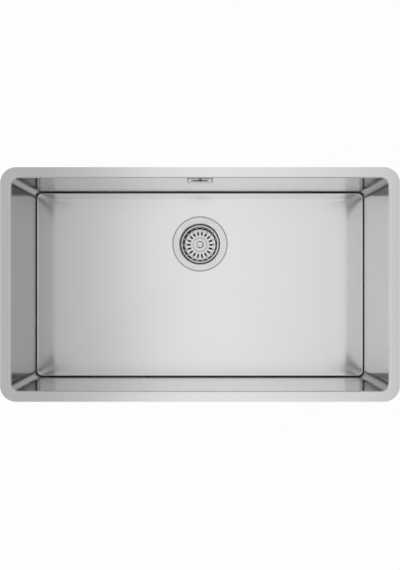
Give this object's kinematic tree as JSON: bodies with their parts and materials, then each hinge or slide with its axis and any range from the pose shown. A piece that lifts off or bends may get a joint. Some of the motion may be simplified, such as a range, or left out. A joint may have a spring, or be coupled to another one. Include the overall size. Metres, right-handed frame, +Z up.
{
  "type": "undermount kitchen sink",
  "caption": "Undermount steel sink with a deep rectangular bowl, flat flange, basket strainer waste, overflow and swinging fixing clips.",
  "frame": {"origin": "middle of the flange's top face, where it meets the underside of the worktop", "axes": "+X along the long side, +Y towards the back, where the waste and the overflow are, +Z up"},
  "size_m": [0.75, 0.4454, 0.287],
  "materials": {
    "brushed_steel": "brushed",
    "satin_steel": "satin",
    "polished_steel": "fine polished",
    "seal_rubber": "matte",
    "pad_rubber": "matte",
    "waste_plastic": "moulded",
    "pipe_plastic": "moulded",
    "brass": "turned",
    "zinc_plate": "zinc plated"
  },
  "bodies": {
    "sink": {"bowl": "brushed_steel", "strainer_cup": "satin_steel", "centre_screw": "polished_steel", "cup_gasket": "seal_rubber", "body_gasket": "seal_rubber", "overflow_gasket": "seal_rubber", "overflow_washer": "seal_rubber", "overflow_o_ring": "seal_rubber", "waste_body": "waste_plastic", "outlet_spigot": "waste_plastic", "overflow_housing": "pipe_plastic", "overflow_union_nut": "waste_plastic", "overflow_pipe": "pipe_plastic", "hub_insert": "brass", "overflow_cover": "polished_steel", "overflow_nut": "zinc_plate", "clip_lugs": "brushed_steel", "clip_screws": "zinc_plate", "clip_nuts": "zinc_plate", "floor_pad_left": "pad_rubber", "floor_pad_right": "pad_rubber", "front_pad": "pad_rubber", "back_pad_left": "pad_rubber", "back_pad_right": "pad_rubber", "left_pad": "pad_rubber", "right_pad": "pad_rubber"},
    "plug": {"basket_stem": "polished_steel", "plug_washer": "polished_steel", "rubber_plug": "seal_rubber", "plug_nut": "polished_steel"},
    "basket": {"basket_shell": "polished_steel", "basket_boss": "polished_steel", "basket_knob": "polished_steel"},
    "clip_front_left": {"clip_front_left": "zinc_plate"},
    "clip_front_right": {"clip_front_right": "zinc_plate"},
    "clip_right_front": {"clip_right_front": "zinc_plate"},
    "clip_right_back": {"clip_right_back": "zinc_plate"},
    "clip_back_right": {"clip_back_right": "zinc_plate"},
    "clip_back_left": {"clip_back_left": "zinc_plate"},
    "clip_left_back": {"clip_left_back": "zinc_plate"},
    "clip_left_front": {"clip_left_front": "zinc_plate"}
  },
  "joints": [
    {"name": "basket_lift", "type": "slide", "parent": "sink", "child": "plug", "axis": [0, 0, 1], "range_m": [0, 0.26]},
    {"name": "basket_spin", "type": "hinge", "parent": "plug", "child": "basket", "pos_m": [0, 0.088, -0.23], "axis": [0, 0, 1], "continuous": true},
    {"name": "swing_front_left", "type": "hinge", "parent": "sink", "child": "clip_front_left", "pos_m": [-0.2, -0.2105, -0.011], "axis": [0, 0, -1], "range_deg": [0, 90]},
    {"name": "swing_front_right", "type": "hinge", "parent": "sink", "child": "clip_front_right", "pos_m": [0.2, -0.2105, -0.011], "axis": [0, 0, -1], "range_deg": [0, 90]},
    {"name": "swing_right_front", "type": "hinge", "parent": "sink", "child": "clip_right_front", "pos_m": [0.3655, -0.1, -0.011], "axis": [0, 0, -1], "range_deg": [0, 90]},
    {"name": "swing_right_back", "type": "hinge", "parent": "sink", "child": "clip_right_back", "pos_m": [0.3655, 0.1, -0.011], "axis": [0, 0, -1], "range_deg": [0, 90]},
    {"name": "swing_back_right", "type": "hinge", "parent": "sink", "child": "clip_back_right", "pos_m": [0.2, 0.2105, -0.011], "axis": [0, 0, -1], "range_deg": [0, 90]},
    {"name": "swing_back_left", "type": "hinge", "parent": "sink", "child": "clip_back_left", "pos_m": [-0.2, 0.2105, -0.011], "axis": [0, 0, -1], "range_deg": [0, 90]},
    {"name": "swing_left_back", "type": "hinge", "parent": "sink", "child": "clip_left_back", "pos_m": [-0.3655, 0.1, -0.011], "axis": [0, 0, -1], "range_deg": [0, 90]},
    {"name": "swing_left_front", "type": "hinge", "parent": "sink", "child": "clip_left_front", "pos_m": [-0.3655, -0.1, -0.011], "axis": [0, 0, -1], "range_deg": [0, 90]}
  ]
}
